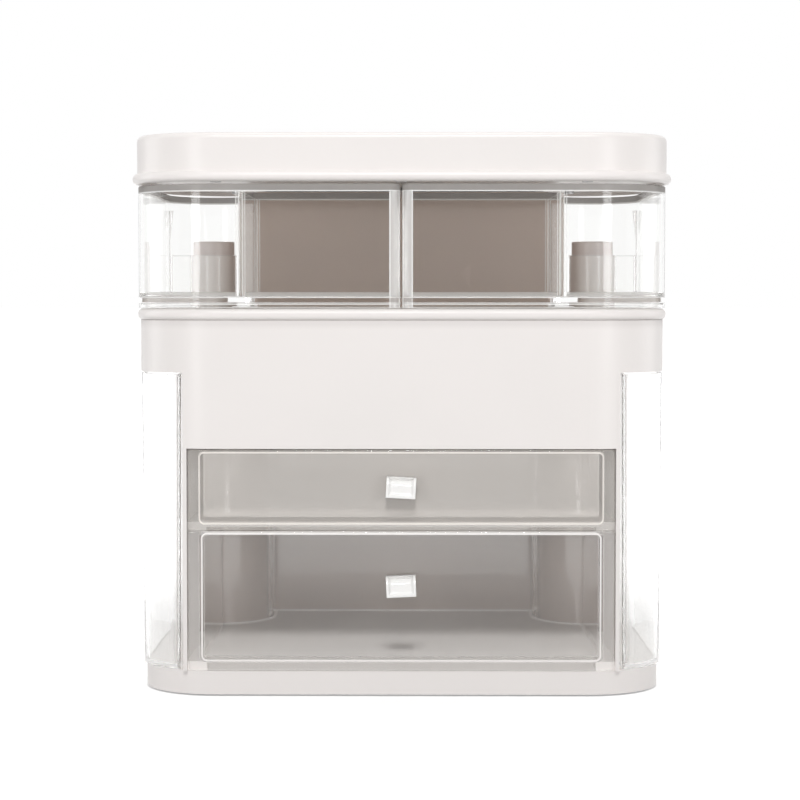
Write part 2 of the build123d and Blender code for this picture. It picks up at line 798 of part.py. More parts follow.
# Right side bin, a tall tub that swings on a steel rod
with BuildPart() as right_side_bin:
    with BuildSketch(Plane.XY.offset(bin_bottom)):
        add(bin_plan(bin_draft))
    with BuildSketch(Plane.XY.offset(bin_top)):
        add(bin_plan(0))
    loft(ruled=True)
    with BuildSketch(Plane.XY.offset(bin_bottom + bin_floor)):
        add(bin_plan(bin_draft + bin_wall))
    with BuildSketch(Plane.XY.offset(bin_top)):
        add(bin_plan(bin_wall))
    loft(ruled=True, mode=Mode.SUBTRACT)
    with BuildSketch(Plane.XY.offset(bin_bottom)):
        with Locations((pivot_x, pivot_y)):
            Circle(bin_hub_radius)
    extrude(amount=bin_height - bin_hub_drop)
    with BuildSketch(Plane.XY.offset(bin_bottom)):
        with Locations((pivot_x, pivot_y)):
            Circle(rod_radius + running_gap)
    extrude(amount=bin_height - bin_hub_drop, mode=Mode.SUBTRACT)

rod_bottom = plinth_top - rod_seat_depth
rod_length = shoulder_bottom + rod_boss_height - rod_bottom
with BuildPart() as right_bin_rod:
    with BuildSketch(Plane.XY.offset(rod_bottom)):
        with Locations((pivot_x, pivot_y)):
            Circle(rod_radius)
    extrude(amount=rod_length)

# Right tray: a clear tray on a foot rim, with a hub round its post and a half-height wall
tray_wall_x = case_width / 2 + tray_step - tray_wall / 2
rib_top = tray_top - rib_top_drop
slot_shift = divider_thickness / 2 + slot_gap + slot_rib_width / 2
tray_front_inside = case_front - tray_step + tray_wall
tray_back_inside = tray_back - tray_wall
with BuildPart() as right_tray:
    with BuildSketch(Plane.XY.offset(tray_bottom)):
        add(tray_outside)
    extrude(amount=tray_height)
    fillet(right_tray.faces().sort_by(Axis.Z)[-1].edges(), tray_rim_edge)
    with BuildSketch(Plane.XY.offset(tray_bottom)):
        add(tray_inside)
    extrude(amount=tray_foot, mode=Mode.SUBTRACT)
    with BuildSketch(Plane.XY.offset(tray_rim_bottom)):
        add(tray_mouth)
    extrude(amount=tray_rim_height, mode=Mode.SUBTRACT)
    tray_cavity_height = tray_rim_bottom - tray_floor_top
    add(
        rounded_cavity(tray_inside, tray_floor_top, tray_cavity_height, tray_cavity_edge),
        mode=Mode.SUBTRACT,
    )
    with BuildSketch(Plane.XY.offset(tray_bottom)):
        with Locations((pivot_x, pivot_y)):
            Circle(tray_hub_radius)
    extrude(amount=tray_hub_height)
    with BuildSketch(Plane.XY.offset(tray_floor_top)):
        with Locations(((pivot_x + tray_wall_x) / 2, pivot_y)):
            Rectangle(tray_wall_x - pivot_x, half_wall)
    extrude(amount=hub_top - tray_floor_top)
    with BuildSketch(Plane.XZ.offset(-pivot_y)):
        with BuildLine():
            Polyline(
                (tray_wall_x, hub_top),
                (tray_wall_x, rib_top),
                (tray_wall_x - rib_width, rib_top),
                (tray_wall_x - rib_foot_width, hub_top),
                close=True,
            )
        make_face()
    extrude(amount=half_wall / 2, both=True)
    with BuildSketch(Plane.XY.offset(tray_floor_top)):
        for x in (divider_x - slot_shift, divider_x + slot_shift):
            with Locations((x, tray_front_inside), (x, tray_back_inside)):
                Rectangle(slot_rib_width, 2 * slot_rib_depth)
    extrude(amount=tray_rim_bottom - tray_floor_top)
    with BuildSketch(Plane.XY.offset(tray_bottom)):
        with Locations((pivot_x, pivot_y)):
            Circle(post_radius + running_gap)
    extrude(amount=tray_hub_height, mode=Mode.SUBTRACT)

with BuildPart() as right_tray_divider:
    with BuildSketch(Plane.XY.offset(tray_floor_top)):
        with Locations((divider_x, (tray_front_inside + tray_back_inside) / 2)):
            Rectangle(divider_thickness, tray_back_inside - tray_front_inside - 2 * slot_gap)
    extrude(amount=tray_rim_bottom - tray_floor_top - divider_drop)
    foot_corners = right_tray_divider.faces().sort_by(Axis.Z)[0].edges().filter_by(Axis.X)
    fillet(foot_corners, tray_cavity_edge)

# Right post: a hollow stub on the deck, with a cap that keeps the tray's hub down
post_top = hub_top + cap_gap
cap_top = post_top + cap_height
cap_recess = post_head_height + head_gap
with BuildPart() as right_tray_post:
    with BuildSketch(Plane.XY.offset(deck_top)):
        with Locations((pivot_x, pivot_y)):
            Circle(post_radius)
    extrude(amount=post_top - deck_top)
    with BuildSketch(Plane.XY.offset(deck_top)):
        with Locations((pivot_x, pivot_y)):
            Circle(post_radius - post_wall)
            Circle(post_boss_radius, mode=Mode.SUBTRACT)
    extrude(amount=post_top - deck_top - post_wall, mode=Mode.SUBTRACT)
    with BuildSketch(Plane.XY.offset(deck_top)):
        with Locations((pivot_x, pivot_y)):
            Circle(post_shank + screw_gap)
    extrude(amount=post_top - deck_top, mode=Mode.SUBTRACT)

with BuildPart() as right_post_cap:
    with BuildSketch(Plane.XY.offset(post_top)):
        with Locations((pivot_x, pivot_y)):
            Circle(cap_radius)
    extrude(amount=cap_height)
    fillet(right_post_cap.faces().sort_by(Axis.Z)[-1].edges(), cap_edge)
    with BuildSketch(Plane.XY.offset(cap_top)):
        with Locations((pivot_x, pivot_y)):
            Circle(post_head + head_gap)
    extrude(amount=-cap_recess, mode=Mode.SUBTRACT)
    with BuildSketch(Plane.XY.offset(post_top)):
        with Locations((pivot_x, pivot_y)):
            Circle(post_shank + screw_gap)
    extrude(amount=cap_height, mode=Mode.SUBTRACT)

with BuildPart() as post_screws:
    draw_screws(
        Plane.XY.offset(cap_top - cap_recess), pivots, -1,
        post_shank, cap_top - cap_recess - deck_under + deck_boss_depth - screw_gap,
        post_head, post_head_height,
    )
save(post_screws.part, "post_screws")

# The left side's pieces mirror the right side's
right_pieces = {
    "side_bin": right_side_bin,
    "bin_rod": right_bin_rod,
    "tray": right_tray,
    "tray_divider": right_tray_divider,
    "tray_post": right_tray_post,
    "post_cap": right_post_cap,
}
for name, right_piece in right_pieces.items():
    save(right_piece.part, f"right_{name}")
    with BuildPart() as left_piece:
        mirror(right_piece.part, about=Plane.YZ)
    save(left_piece.part, f"left_{name}")
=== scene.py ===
"""Looks of a table-top cosmetic case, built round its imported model.

The model holds the case's real pieces at their real size. This script gives every piece its
finish, replaces the two pull tabs by softer shapes, and sets up the studio and the camera.
Lengths are in metres. X runs to the viewer's right, Y from the front to the back and Z up.
"""

from __future__ import annotations

import logging
import math
from dataclasses import dataclass, field
from enum import Enum
from typing import Callable, Iterable

import bmesh
import bpy
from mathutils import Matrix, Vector

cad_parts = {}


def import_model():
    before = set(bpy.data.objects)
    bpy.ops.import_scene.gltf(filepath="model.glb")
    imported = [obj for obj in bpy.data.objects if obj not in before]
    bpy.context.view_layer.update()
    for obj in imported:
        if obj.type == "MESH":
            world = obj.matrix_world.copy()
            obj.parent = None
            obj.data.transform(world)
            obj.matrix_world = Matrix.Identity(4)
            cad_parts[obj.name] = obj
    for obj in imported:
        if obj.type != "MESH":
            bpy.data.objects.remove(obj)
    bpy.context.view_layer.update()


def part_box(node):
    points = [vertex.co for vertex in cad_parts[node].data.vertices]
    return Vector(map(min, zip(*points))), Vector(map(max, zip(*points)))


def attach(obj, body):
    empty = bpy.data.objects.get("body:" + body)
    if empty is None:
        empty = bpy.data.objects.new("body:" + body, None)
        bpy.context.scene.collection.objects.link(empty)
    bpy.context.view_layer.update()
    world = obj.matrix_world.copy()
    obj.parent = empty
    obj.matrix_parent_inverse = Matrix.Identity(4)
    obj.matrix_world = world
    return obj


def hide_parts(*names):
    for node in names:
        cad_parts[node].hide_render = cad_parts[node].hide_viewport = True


LOG = logging.getLogger("cosmetic_case")
MM = 0.001

Colour = tuple[float, float, float]
Point = tuple[float, float, float]

WHITE: Colour = (1.0, 1.0, 1.0)
CLEAR: Colour = (0.985, 0.985, 0.98)

# Upright line that each end's tray and bin turn on
PIVOT_X = 113.0 * MM
PIVOT_Y = 62.0 * MM


class Side(Enum):
    """The two ends of the case, with the sign of their X."""

    LEFT = -1
    RIGHT = 1

    @property
    def prefix(self) -> str:
        """Start of the names of this end's nodes."""
        return self.name.lower()


class Level(Enum):
    """The two drawers, with the turn of their pull tabs in degrees."""

    LOWER = -2.5
    UPPER = 3.0

    @property
    def prefix(self) -> str:
        """Start of the names of this drawer's nodes."""
        return self.name.lower()


class Value:
    """A number in a shader graph, which Python's operators work on."""

    def __init__(self, graph: Graph, socket: bpy.types.NodeSocket) -> None:
        """Wraps an output socket of a graph.

        Args:
            graph: The graph that the socket belongs to.
            socket: The output socket that gives the number.
        """
        self.graph = graph
        self.socket = socket

    def _math(self, operation: str, *operands: Value | float) -> Value:
        """Adds a Math node.

        Args:
            operation: The node's operation.
            operands: Its inputs in order.

        Returns:
            The node's result.
        """
        return self.graph.node("ShaderNodeMath", {"operation": operation}, *operands)

    def __add__(self, other: Value | float) -> Value:
        """Sum of two numbers."""
        return self._math("ADD", self, other)

    def __radd__(self, other: float) -> Value:
        """Sum with a plain number in front."""
        return self._math("ADD", other, self)

    def __sub__(self, other: Value | float) -> Value:
        """Difference of two numbers."""
        return self._math("SUBTRACT", self, other)

    def __rsub__(self, other: float) -> Value:
        """Difference from a plain number."""
        return self._math("SUBTRACT", other, self)

    def __mul__(self, other: Value | float) -> Value:
        """Product of two numbers."""
        return self._math("MULTIPLY", self, other)

    def __rmul__(self, other: float) -> Value:
        """Product with a plain number in front."""
        return self._math("MULTIPLY", other, self)

    def __abs__(self) -> Value:
        """Size of this number without its sign."""
        return self._math("ABSOLUTE", self)

    def at_least(self, least: Value | float) -> Value:
        """The larger of this number and another."""
        return self._math("MAXIMUM", self, least)

    def at_most(self, most: Value | float) -> Value:
        """The smaller of this number and another."""
        return self._math("MINIMUM", self, most)

    def hypotenuse(self, other: Value) -> Value:
        """Length of the slope over this number and another."""
        return self._math("SQRT", self * self + other * other)

    def output(self, name: str) -> Value:
        """Another output of the node that gives this number."""
        return Value(self.graph, self.socket.node.outputs[name])

    def above(self, start: float, end: float) -> Value:
        """Smooth step of this number.

        Args:
            start: Where the step is still 0.
            end: Where the step has reached 1.

        Returns:
            A number from 0 to 1.
        """
        settings = {"interpolation_type": "SMOOTHSTEP"}
        return self.graph.node("ShaderNodeMapRange", settings, self, start, end)

    def off_line(self, width: float) -> Value:
        """Tells whether this distance is off a line.

        Args:
            width: The line's width, in metres.

        Returns:
            0 on the line and 1 away from it.
        """
        return abs(self).above(width * 0.5, width * 1.5)


class Graph:
    """The node graph of one material, ending in a Principled shader."""

    def __init__(self, name: str) -> None:
        """Starts an empty material.

        Args:
            name: The material's name.
        """
        self.material = bpy.data.materials.new(name)
        self.material.use_nodes = True
        self.tree = self.material.node_tree
        self.tree.nodes.clear()
        self.output = self.tree.nodes.new("ShaderNodeOutputMaterial")
        self.shader = self.tree.nodes.new("ShaderNodeBsdfPrincipled")
        self.tree.links.new(self.shader.outputs[0], self.output.inputs["Surface"])

    def _feed(self, socket: bpy.types.NodeSocket, value: object) -> None:
        """Links or sets one input.

        Args:
            socket: The input socket.
            value: A Value, an output socket, a number or a colour.
        """
        if isinstance(value, Value):
            self.tree.links.new(value.socket, socket)
        elif isinstance(value, bpy.types.NodeSocket):
            self.tree.links.new(value, socket)
        elif socket.type == "RGBA":
            socket.default_value = (*value, 1.0)
        else:
            socket.default_value = value

    def node(
        self, kind: str, settings: dict[str, object], *values: object, **named: object
    ) -> Value:
        """Adds any node.

        Args:
            kind: The node's type.
            settings: Its settings, which are set first.
            values: Its inputs in order.
            named: Its inputs by name, with underscores for spaces.

        Returns:
            The node's first output.
        """
        added = self.tree.nodes.new(kind)
        for setting, value in settings.items():
            setattr(added, setting, value)
        for socket, value in zip(added.inputs, values):
            self._feed(socket, value)
        for name, value in named.items():
            self._feed(added.inputs[name.replace("_", " ")], value)
        return Value(self, added.outputs[0])

    def place(self) -> bpy.types.NodeSocket:
        """Position on the piece, in metres."""
        return self.tree.nodes.new("ShaderNodeTexCoord").outputs["Object"]

    def axes(self) -> tuple[Value, Value, Value]:
        """X, Y and Z on the piece, in metres."""
        parts = self.node("ShaderNodeSeparateXYZ", {}, self.place())
        return parts.output("X"), parts.output("Y"), parts.output("Z")

    def noise(self, per_metre: float, detail: float = 3.0, where: object = None) -> Value:
        """Adds a noise pattern.

        Args:
            per_metre: How many of its blotches fit in a metre.
            detail: How many finer octaves it has.
            where: The position that it reads, if not the piece's own.

        Returns:
            A number round 0.5.
        """
        position = self.place() if where is None else where
        return self.node("ShaderNodeTexNoise", {}, Vector=position, Scale=per_metre, Detail=detail)

    def mix(self, share: Value, low: object, high: object) -> bpy.types.NodeSocket:
        """Mixes two colours.

        Args:
            share: How much of the second colour shows.
            low: The first colour.
            high: The second colour.

        Returns:
            The mixed colour.
        """
        added = self.tree.nodes.new("ShaderNodeMix")
        added.data_type = "RGBA"
        self._feed(added.inputs["Factor"], share)
        self._feed(added.inputs["A"], low)
        self._feed(added.inputs["B"], high)
        return added.outputs["Result"]

    def stretched(self, scale: Point) -> Value:
        """Position on the piece with each axis scaled.

        Args:
            scale: Factors along X, Y and Z.

        Returns:
            The scaled position.
        """
        return self.node("ShaderNodeVectorMath", {"operation": "MULTIPLY"}, self.place(), scale)

    def sharpness(self, width: float) -> Value:
        """Finds the sharp edges of the piece.

        Args:
            width: How far from an edge it is still felt, in metres.

        Returns:
            A number that is 0 on open faces and rises to about 0.3 on a square edge.
        """
        soft = self.node("ShaderNodeBevel", {"samples": 6}, width)
        plain = self.node("ShaderNodeNewGeometry", {}).output("Normal")
        alike = self.node("ShaderNodeVectorMath", {"operation": "DOT_PRODUCT"}, soft, plain)
        return 1.0 - alike.output("Value")

    def ray(self, *kinds: str) -> Value:
        """Tells whether the ray at hand is of one of these kinds.

        Args:
            kinds: Outputs of the Light Path node, of which at most one holds at a time.

        Returns:
            1 where one of them holds, and otherwise 0.
        """
        path = self.node("ShaderNodeLightPath", {})
        total = path.output(kinds[0])
        for kind in kinds[1:]:
            total = total + path.output(kind)
        return total

    def bump(self, height: Value, depth: float, strength: float = 1.0) -> Value:
        """Turns a height into a surface direction.

        Args:
            height: The height pattern.
            depth: How deep a height of 1 is, in metres.
            strength: Share of the effect.

        Returns:
            The bumped normal.
        """
        return self.node("ShaderNodeBump", {}, Strength=strength, Distance=depth, Height=height)

    def finish(self, **sockets: object) -> bpy.types.Material:
        """Sets the shader's sockets.

        Args:
            sockets: Values by socket name, with underscores for spaces.

        Returns:
            The finished material.
        """
        for name, value in sockets.items():
            self._feed(self.shader.inputs[name.replace("_", " ")], value)
        return self.material


@dataclass(frozen=True)
class MouldedPlastic:
    """Opaque injection-moulded plastic with a faint orange peel."""

    name: str
    colour: Colour
    shade: Colour
    roughness: float = 0.34
    peel_depth: float = 0.00004
    coat: float = 0.0
    # Optional band of painted shade, darkest at this height and fading out below it, standing in
    # for the shade under an overhanging bead.
    shaded_top: float | None = None
    shaded_reach: float = 5.5 * MM
    shaded_share: float = 0.28
    shaded_colour: Colour = (0.45, 0.41, 0.4)
    cloud_scale: float = 14.0
    speck_scale: float = 900.0
    peel_scale: float = 380.0
    rub_scale: float = 45.0
    rub_roughness: float = 0.06
    speck_roughness: float = 0.05

    def make(self) -> bpy.types.Material:
        """Builds the material, mottled very slightly between its colour and its shade, with a band
        of painted shade below a given height if one is set.
        """
        graph = Graph(self.name)
        cloud = graph.noise(self.cloud_scale, 2.0)
        speck = graph.noise(self.speck_scale, 2.0)
        peel = graph.noise(self.peel_scale, 2.0)
        mottle = (cloud - 0.35) * 1.4 + (speck - 0.5) * 0.25
        colour = graph.mix(mottle.above(0.0, 1.0), self.colour, self.shade)
        # Painted shade: darkens the colour in a band just below the given height.
        if self.shaded_top is not None:
            painted_shade = graph.axes()[2].above(self.shaded_top - self.shaded_reach, self.shaded_top)
            colour = graph.mix(painted_shade * self.shaded_share, colour, self.shaded_colour)
        rubbed = graph.noise(self.rub_scale, 4.0).above(0.45, 0.75)
        uneven = (speck - 0.5) * self.speck_roughness
        return graph.finish(
            Base_Color=colour,
            Roughness=self.roughness + rubbed * self.rub_roughness + uneven,
            Normal=graph.bump(peel + speck * 0.3, self.peel_depth),
            Coat_Weight=self.coat,
            IOR=1.5,
        )


@dataclass(frozen=True)
class Frame:
    """A painted line of light where a drawer's box meets its front plate, a milky layer over the
    plate that is partly haze and partly painted light, and the drawer's finely matt floor.
    """

    half_width: float
    bottom: float
    top: float
    corner: float = 2.6 * MM
    line: float = 0.5 * MM
    plate_back: float = -88.0 * MM
    plate_fade: float = 1.0 * MM
    share: float = 0.95
    # Milky layer over the plate: partly haze and partly painted light, lighter outside the line
    # toward the plate's edges as painted light.
    veil: float = 0.03
    rim_veil: float = 0.15
    floor_top: float = 21.6 * MM
    floor_fade: float = 0.2 * MM
    floor_share: float = 0.85

    def shown(self, graph: Graph) -> Value:
        """Draws the painted line of light as a rounded rectangle on the plate's front, with the
        milky layer and the matt floor.

        Args:
            graph: The drawer's material.

        Returns:
            How much of the painted light, the haze and the matt floor shows, from 0 to 1.
        """
        x, y, z = graph.axes()
        over = abs(x) - (self.half_width - self.corner)
        half_height = (self.top - self.bottom) / 2
        up = abs(z - (self.top + self.bottom) / 2) - (half_height - self.corner)
        outside = over.at_least(0.0).hypotenuse(up.at_least(0.0))
        beyond = outside + over.at_least(up).at_most(0.0) - self.corner
        on_plate = 1.0 - y.above(self.plate_back - self.plate_fade, self.plate_back)
        # Painted line of light where the box meets the plate.
        line = (1.0 - beyond.off_line(self.line)) * self.share
        # Milky layer: partly haze, partly painted light, rising toward the plate's edges.
        veil = self.veil + beyond.above(-self.line, 0.0) * (self.rim_veil - self.veil)
        above_floor = z.above(self.floor_top, self.floor_top + self.floor_fade)
        on_floor = (1.0 - on_plate) * (1.0 - above_floor)
        return (line.at_least(veil) * on_plate).at_least(on_floor * self.floor_share)


@dataclass(frozen=True)
class Bands:
    """The tray's rim drawn grey as painted shade, and the painted lines of light that run round
    the tray.
    """

    rim_bottom: float = 269.4 * MM
    # Painted shade: the rim is drawn grey, standing in for the dim view through it.
    rim_share: float = 0.72
    rim_colour: Colour = (0.38, 0.36, 0.345)
    rim_fade: float = 0.2 * MM
    # Painted highlight lines round the tray, at these heights.
    lines: tuple[tuple[float, float], ...] = (
        (269.2 * MM, 0.55), (212.9 * MM, 0.65), (209.3 * MM, 0.45),
    )
    line: float = 0.35 * MM
    # Painted light at the tray's inner corner, with painted highlight lines across it.
    corner_reach: float = 6.2 * MM
    corner_share: float = 0.34
    corner_fade: float = 0.3 * MM
    corner_lines: tuple[float, ...] = (1.0 * MM, 5.9 * MM)
    corner_line_share: float = 0.65
    front: tuple[float, float] = (-0.085, -0.08)

    def rim(self, graph: Graph) -> Value:
        """Tells the rim from the rest of the tray, with 1 on the rim."""
        return graph.axes()[2].above(self.rim_bottom, self.rim_bottom + self.rim_fade)

    def shown(self, graph: Graph) -> Value:
        """Draws the rim's painted shade and the painted lines of light.

        Args:
            graph: The tray's material.

        Returns:
            How much of the painted shade and light shows, from 0 to 1.
        """
        x, y, height = graph.axes()
        across = abs(x)
        past_corner = across.above(self.corner_reach - self.corner_fade, self.corner_reach)
        corner = (1.0 - past_corner) * self.corner_share
        bright = self.corner_line_share
        for place in self.corner_lines:
            corner = corner.at_least(bright - bright * (across - place).off_line(self.line))
        at_front = 1.0 - y.above(*self.front)
        total = (self.rim(graph) * self.rim_share).at_least(corner * at_front)
        for place, share in self.lines:
            total = total.at_least((1.0 - (height - place).off_line(self.line)) * share)
        return total


@dataclass(frozen=True)
class ClearPlastic:
    """Polished clear plastic with moulding flow lines, and painted highlights along its sharp
    edges.
    """

    name: str
    tint: Colour
    # Colour of the painted highlights along the edges and of the other painted marks.
    edge: Colour
    roughness: float = 0.01
    ior: float = 1.49
    edge_width: float = 0.0009
    edge_share: float = 0.8
    edge_step: tuple[float, float] = (0.02, 0.14)
    flow_scale: float = 16.0
    flow_depth: float = 0.0001
    flow_strength: float = 0.2
    haze_scale: float = 60.0
    haze_roughness: float = 0.02
    haze_milk: float = 0.06
    milk: float = 0.0
    frame: Frame | None = None
    bands: Bands | None = None

    def make(self) -> bpy.types.Material:
        """Builds the material, through which the lamps light what is behind it."""
        graph = Graph(self.name)
        flow = graph.noise(self.flow_scale, 1.0)
        haze = graph.noise(self.haze_scale, 3.0).above(0.5, 0.9)
        graph.finish(
            Base_Color=self.tint,
            Roughness=self.roughness + haze * self.haze_roughness,
            Normal=graph.bump(flow, self.flow_depth, self.flow_strength),
            Transmission_Weight=1.0,
            IOR=self.ior,
        )
        # Diffuse for the painted light on edges and marks, for the milk and for the matt floor.
        lit = graph.node("ShaderNodeBsdfDiffuse", {}, self.edge)
        if self.bands is not None:
            # The tray's rim is drawn in a grey diffuse, as painted shade.
            grey = graph.node("ShaderNodeBsdfDiffuse", {}, self.bands.rim_colour)
            lit = graph.node("ShaderNodeMixShader", {}, self.bands.rim(graph), lit, grey)
        open_air = graph.node("ShaderNodeBsdfTransparent", {}, CLEAR)
        # Painted highlight along the sharp edges, found by the Bevel node.
        painted_light_and_milk = graph.sharpness(self.edge_width).above(*self.edge_step) * self.edge_share
        if self.milk > 0.0:
            painted_light_and_milk = painted_light_and_milk.at_least(haze * self.haze_milk + self.milk)
        for marks in (self.frame, self.bands):
            if marks is not None:
                painted_light_and_milk = painted_light_and_milk.at_least(marks.shown(graph))
        edged = graph.node("ShaderNodeMixShader", {}, painted_light_and_milk, graph.shader.outputs[0], lit)
        passing = graph.ray("Is Shadow Ray", "Is Diffuse Ray")
        whole = graph.node("ShaderNodeMixShader", {}, passing, edged, open_air)
        graph.tree.links.new(whole.socket, graph.output.inputs["Surface"])
        return graph.material


@dataclass(frozen=True)
class BrushedSteel:
    """Zinc-plated steel with fine turning marks."""

    name: str
    colour: Colour
    roughness: float = 0.28
    worn: Colour = (0.42, 0.42, 0.43)
    mark_scale: Point = (500.0, 500.0, 9000.0)
    mark_depth: float = 0.00002

    def make(self) -> bpy.types.Material:
        """Builds the material."""
        graph = Graph(self.name)
        marks = graph.noise(1.0, 3.0, graph.stretched(self.mark_scale).socket)
        return graph.finish(
            Base_Color=graph.mix(marks.above(0.3, 0.8), self.colour, self.worn),
            Roughness=self.roughness + marks * 0.15,
            Metallic=1.0,
            Normal=graph.bump(marks, self.mark_depth),
        )


@dataclass(frozen=True)
class SoftRubber:
    """Pale rubber with a dusty, finely pitted skin."""

    name: str
    colour: Colour
    dusty: Colour = (0.66, 0.65, 0.63)
    roughness: float = 0.75
    pit_scale: float = 1600.0
    pit_depth: float = 0.00006
    dust_scale: float = 90.0

    def make(self) -> bpy.types.Material:
        """Builds the material."""
        graph = Graph(self.name)
        pits = graph.noise(self.pit_scale, 2.0)
        dust = graph.noise(self.dust_scale, 4.0).above(0.4, 0.8)
        return graph.finish(
            Base_Color=graph.mix(dust, self.colour, self.dusty),
            Roughness=self.roughness + dust * 0.15,
            Normal=graph.bump(pits, self.pit_depth),
        )


@dataclass
class Finishes:
    """Every finish of the case, made once."""

    white: bpy.types.Material = field(init=False)
    band: bpy.types.Material = field(init=False)
    core: bpy.types.Material = field(init=False)
    shelf: bpy.types.Material = field(init=False)
    column: bpy.types.Material = field(init=False)
    post: bpy.types.Material = field(init=False)
    cap: bpy.types.Material = field(init=False)
    clear: bpy.types.Material = field(init=False)
    tray: bpy.types.Material = field(init=False)
    bin: bpy.types.Material = field(init=False)
    tab: bpy.types.Material = field(init=False)
    steel: bpy.types.Material = field(init=False)
    rubber: bpy.types.Material = field(init=False)
    drawers: dict[Level, bpy.types.Material] = field(init=False)

    def __post_init__(self) -> None:
        """Builds the materials."""
        pale, pale_shade = (0.85, 0.81, 0.79), (0.82, 0.785, 0.765)
        self.white = MouldedPlastic("white_plastic", pale, pale_shade).make()
        # The shell's plastic, with painted shade in a band just below the deck's bead.
        self.band = MouldedPlastic(
            "band_plastic", pale, pale_shade, shaded_top=200.7 * MM
        ).make()
        # Darker, glossier plastic for the walls round the drawers; its darker colour is partly
        # painted shade inside the bay.
        self.core = MouldedPlastic(
            "core_plastic", (0.58, 0.49, 0.45), (0.53, 0.45, 0.415), 0.08
        ).make()
        # Grey for the shelf between the drawers and for the runners' fronts: painted shade, darker
        # than their white plastic.
        self.shelf = MouldedPlastic(
            "shelf_plastic", (0.42, 0.395, 0.38), (0.39, 0.37, 0.355), 0.3
        ).make()
        self.column = MouldedPlastic(
            "column_plastic", (0.54, 0.43, 0.375), (0.47, 0.375, 0.325), 0.22
        ).make()
        self.post = MouldedPlastic(
            "post_plastic", (0.95, 0.915, 0.9), (0.92, 0.885, 0.87), 0.35
        ).make()
        self.cap = MouldedPlastic(
            "cap_plastic", (0.8, 0.735, 0.715), (0.76, 0.7, 0.68), 0.4
        ).make()
        # Colour of the painted highlights along the clear pieces' edges.
        edge = (0.93, 0.925, 0.915)
        self.clear = ClearPlastic("clear_plastic", CLEAR, edge, ior=1.25).make()
        self.tray = ClearPlastic("tray_plastic", CLEAR, edge, ior=1.25, bands=Bands()).make()
        # The bins: weaker painted edge highlights and a faint milk.
        self.bin = ClearPlastic(
            "bin_plastic", (1.0, 1.0, 0.998), (0.97, 0.965, 0.96),
            ior=1.12, edge_share=0.55, milk=0.05,
        ).make()
        # Painted line of light round each drawer's box; the upper drawer's milky layer is strong
        # and warm, painted light for its lighter interior.
        lower = Frame(106.0 * MM, 19.6 * MM, 87.4 * MM)
        upper = Frame(
            107.2 * MM, 92.7 * MM, 130.6 * MM,
            share=0.8, veil=0.28, floor_top=96.6 * MM, floor_share=0.3,
        )
        self.drawers = {
            Level.LOWER: self.clear_drawer("lower", (0.96, 0.925, 0.905), lower),
            Level.UPPER: self.clear_drawer("upper", (0.92, 0.87, 0.82), upper),
        }
        self.tab = MouldedPlastic(
            "tab_plastic", (0.91, 0.9, 0.885), (0.88, 0.87, 0.855), 0.12, 0.00002, 0.4
        ).make()
        self.steel = BrushedSteel("steel", (0.6, 0.6, 0.61)).make()
        self.rubber = SoftRubber("rubber", (0.74, 0.73, 0.71)).make()

    def clear_drawer(self, place: str, edge: Colour, frame: Frame) -> bpy.types.Material:
        """Makes one drawer's clear plastic.

        Args:
            place: The drawer's name.
            edge: Colour of the painted light on its edges, line and plate, and of its matt floor.
            frame: The painted line of light on its front.

        Returns:
            The material.
        """
        name = f"{place}_drawer_plastic"
        return ClearPlastic(name, CLEAR, edge, ior=1.35, frame=frame).make()


def dress(node: str, material: bpy.types.Material) -> None:
    """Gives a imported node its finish.

    Args:
        node: The node's name.
        material: Its finish.
    """
    piece = bpy.data.objects[node]
    piece.data.materials.clear()
    piece.data.materials.append(material)
    LOG.info("dressed %s in %s", node, material.name)


@dataclass
class Body:
    """The case's fixed pieces: plinth, shell, deck, column, posts and rods."""

    finishes: Finishes
    white_nodes: tuple[str, ...] = ("base_plinth", "well_floor", "top_deck")
    steel_nodes: tuple[str, ...] = (
        "base_screws", "column_screws", "post_screws", "left_bin_rod", "right_bin_rod",
    )
    bay_half: float = 114.3 * MM
    bay_rear: float = 80.0 * MM
    bay_back: float = 92.5 * MM
    bay_top: float = 132.7 * MM
    facing: float = 0.9
    housing_inside: float = 31.0 * MM
    housing_outside: float = 33.0 * MM
    runner_low: float = 88.0 * MM
    runner_high: float = 93.5 * MM

    def build(self) -> None:
        """Dresses the fixed pieces."""
        for node in self.white_nodes:
            dress(node, self.finishes.white)
        for node in self.steel_nodes:
            dress(node, self.finishes.steel)
        dress("body_shell", self.finishes.band)
        dress("drawer_shelf", self.finishes.shelf)
        self.line_bay()
        dress("rear_column", self.finishes.column)
        dress("rubber_feet", self.finishes.rubber)
        for side in Side:
            dress(f"{side.prefix}_tray_post", self.finishes.post)
            dress(f"{side.prefix}_post_cap", self.finishes.cap)

    def line_bay(self) -> None:
        """Gives the walls round the drawers their darker, glossier finish, whose darker colour is
        partly painted shade, and paints shade on the runners in the shelf's grey.
        """
        shell = bpy.data.objects["body_shell"].data
        shell.materials.append(self.finishes.core)
        shell.materials.append(self.finishes.shelf)
        for face in shell.polygons:
            x, y, z = face.center
            in_bay = abs(x) < self.bay_half and y < self.bay_back and z < self.bay_top
            at_back = y > self.bay_rear and abs(face.normal.y) > self.facing
            pivot_distance = math.hypot(abs(x) - PIVOT_X, y - PIVOT_Y)
            on_housing = self.housing_inside < pivot_distance < self.housing_outside
            on_runner = self.runner_low < z < self.runner_high
            # Back wall and housings get the core plastic, whose darker colour is partly painted
            # shade.
            if in_bay and (at_back or on_housing):
                face.material_index = 1
            # Runners get the shelf's grey as painted shade.
            elif in_bay and on_runner:
                face.material_index = 2


